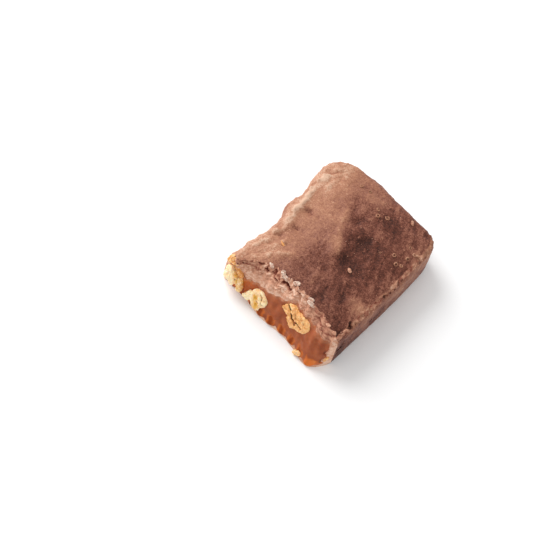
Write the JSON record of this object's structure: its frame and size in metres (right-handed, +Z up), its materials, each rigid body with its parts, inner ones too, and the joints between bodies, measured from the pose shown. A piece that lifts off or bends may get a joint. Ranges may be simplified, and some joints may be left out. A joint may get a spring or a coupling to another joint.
{
  "type": "caramel chocolate bar half",
  "caption": "Half of a milk chocolate bar with a caramel and peanut filling, snapped across so one end shows the filling under a ragged lip of chocolate.",
  "frame": {"origin": "on the surface the piece lies on, under the middle of its box", "axes": "+X across the bar, +Y along it towards the whole end with the broken end at -Y, +Z up through the top"},
  "size_m": [0.0484, 0.0668, 0.0165],
  "materials": {
    "milk_chocolate": "dry matte milk chocolate with a pale bloom",
    "caramel": "soft translucent caramel, half glossy",
    "roasted_peanut": "golden roasted nut, satin",
    "pale_peanut": "cream coloured nut, satin"
  },
  "bodies": {
    "root": {"chocolate_coat": "milk_chocolate", "caramel_filling": "caramel", "peanut_half": "roasted_peanut", "peanut_round": "pale_peanut", "peanut_corner": "pale_peanut", "peanut_shard": "roasted_peanut", "peanut_crumb": "roasted_peanut", "peanut_tooth": "pale_peanut", "peanut_sliver": "pale_peanut", "peanut_chip_side": "roasted_peanut", "peanut_chip_foot": "roasted_peanut"}
  },
  "joints": []
}
